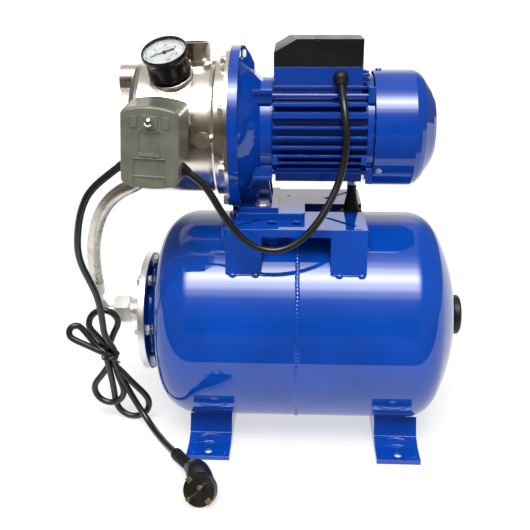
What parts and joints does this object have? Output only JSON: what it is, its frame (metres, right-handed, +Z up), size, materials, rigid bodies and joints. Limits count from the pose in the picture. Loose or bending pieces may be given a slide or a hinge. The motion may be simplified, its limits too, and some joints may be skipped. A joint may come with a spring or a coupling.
{
  "type": "shallow well jet pump set",
  "caption": "Self-priming jet pump with a finned motor on a horizontal pressure tank, with pressure switch, gauge, braided hose and mains lead.",
  "frame": {"origin": "centre of the four foot-bolt holes, on the floor", "axes": "+X along the tank's axis towards the motor's fan end, +Y away from the pressure switch and gauge, +Z up"},
  "size_m": [0.5135, 0.3736, 0.5027],
  "materials": {
    "tank_paint": "glossy deep royal-blue powder coat on steel",
    "motor_paint": "glossy royal-blue paint on cast and extruded aluminium",
    "zinc_steel": "bright zinc plating",
    "stainless": "polished pressed stainless steel",
    "brass": "turned brass, nickel plated where it shows",
    "black_plastic": "moulded black plastic, semi-gloss",
    "engineering_plastic": "glass-filled moulding",
    "black_rubber": "black rubber and flexible PVC",
    "grey_plastic": "grey-green moulded cover, fine texture",
    "chrome": "chrome plating",
    "gauge_black": "black stove enamel",
    "dial_white": "white printed dial",
    "lens_glass": "clear window",
    "core_steel": "laminated and bearing steel",
    "copper_winding": "varnished copper wire",
    "seal_ceramic": "ceramic and carbon seal faces"
  },
  "bodies": {
    "pump_set": {"tank_shell": "tank_paint", "tank_foot_left": "tank_paint", "tank_foot_right": "tank_paint", "pump_saddle": "tank_paint", "base_plate": "tank_paint", "motor_bell": "motor_paint", "motor_housing": "motor_paint", "end_shield": "motor_paint", "fan_cover": "motor_paint", "tank_flange": "zinc_steel", "flange_bolts": "zinc_steel", "pump_bolts": "zinc_steel", "hose_nut": "zinc_steel", "hose_fittings": "zinc_steel", "switch_base": "zinc_steel", "cover_screws": "zinc_steel", "tie_rods": "zinc_steel", "support_stud": "zinc_steel", "pump_casing": "stainless", "seal_plate": "stainless", "hose_braid": "stainless", "casing_fittings": "brass", "air_valve": "brass", "plug_contacts": "brass", "terminal_block": "brass", "terminal_cover": "black_plastic", "cable_gland": "black_plastic", "run_capacitor": "black_plastic", "plug_body": "black_plastic", "plug_strain_relief": "black_plastic", "diffuser": "engineering_plastic", "ejector": "engineering_plastic", "tank_bladder": "black_rubber", "casing_o_ring": "black_rubber", "support_foot": "black_rubber", "switch_bushes": "black_rubber", "motor_cable": "black_rubber", "power_cord_upper": "black_rubber", "power_cord_hank": "black_rubber", "power_cord_tail": "black_rubber", "cord_tie": "black_rubber", "gauge_case": "gauge_black", "gauge_dial": "dial_white", "gauge_lens": "lens_glass", "stator_core": "core_steel", "ball_bearings": "core_steel", "switch_mechanism": "core_steel", "stator_windings": "copper_winding", "seal_fixed_ring": "seal_ceramic"},
    "rotor_assembly": {"motor_shaft": "stainless", "rotor_core": "core_steel", "impeller": "stainless", "impeller_nut": "stainless", "cooling_fan": "black_plastic", "seal_turning_ring": "seal_ceramic"},
    "gauge_pointer": {"gauge_needle": "engineering_plastic"},
    "switch_rocker": {"switch_lever": "core_steel"},
    "switch_hood": {"switch_cover": "grey_plastic"},
    "switch_dome_nut": {"switch_acorn_nut": "chrome"},
    "air_cap": {"valve_cap": "black_plastic"}
  },
  "joints": [
    {"name": "shaft_spin", "type": "hinge", "parent": "pump_set", "child": "rotor_assembly", "pos_m": [0, 0, 0.392], "axis": [1, 0, 0], "continuous": true},
    {"name": "gauge_pointer_turn", "type": "hinge", "parent": "pump_set", "child": "gauge_pointer", "pos_m": [-0.157, -0.04043, 0.45929], "axis": [-0.1219, -0.5112, 0.8508], "range_deg": [-270, 0]},
    {"name": "switch_rocker_tilt", "type": "hinge", "parent": "pump_set", "child": "switch_rocker", "pos_m": [-0.16789, -0.106, 0.36406], "axis": [0.9981, 0, -0.061], "range_deg": [0, 5], "stiffness_Nm_per_rad": 0.02},
    {"name": "switch_hood_pull", "type": "slide", "parent": "pump_set", "child": "switch_hood", "axis": [0, -1, 0], "range_m": [0, 0.075]},
    {"name": "dome_nut_unscrew", "type": "slide", "parent": "switch_hood", "child": "switch_dome_nut", "axis": [0, -1, 0], "range_m": [0, 0.02]},
    {"name": "air_cap_unscrew", "type": "slide", "parent": "pump_set", "child": "air_cap", "axis": [1, 0, 0], "range_m": [0, 0.025]}
  ]
}
